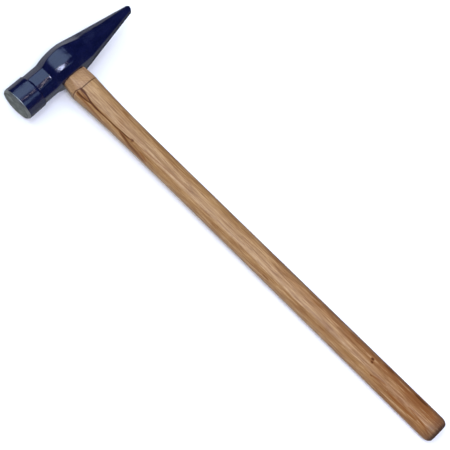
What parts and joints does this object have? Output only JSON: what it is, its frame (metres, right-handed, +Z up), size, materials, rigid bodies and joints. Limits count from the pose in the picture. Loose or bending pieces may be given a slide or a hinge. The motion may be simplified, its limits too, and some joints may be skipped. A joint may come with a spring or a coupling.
{
  "type": "cross peen hammer",
  "caption": "Blacksmith's cross peen hammer: blue enamelled forged head with a round bare face and a long tapering peen, wedged on an oval hickory handle.",
  "frame": {"origin": "middle of the hammer's footprint on the floor, at floor level", "axes": "+X along the handle from the head to the butt, +Y along the head from the striking face to the peen, +Z up; the hammer lies on its side, resting on a cheek, the poll and the butt"},
  "size_m": [0.6096, 0.1792, 0.0513],
  "materials": {
    "blue_enamel": "glossy enamel, with the striking face left as bare ground steel",
    "hickory": "clear lacquer, glossy",
    "wedge_wood": "raw end grain, level with the eye",
    "wedge_steel": "plain, dulled"
  },
  "bodies": {
    "root": {"hammer_head": "blue_enamel", "handle": "hickory", "wooden_wedge": "wedge_wood", "steel_wedge_poll_side": "wedge_steel", "steel_wedge_peen_side": "wedge_steel"}
  },
  "joints": []
}
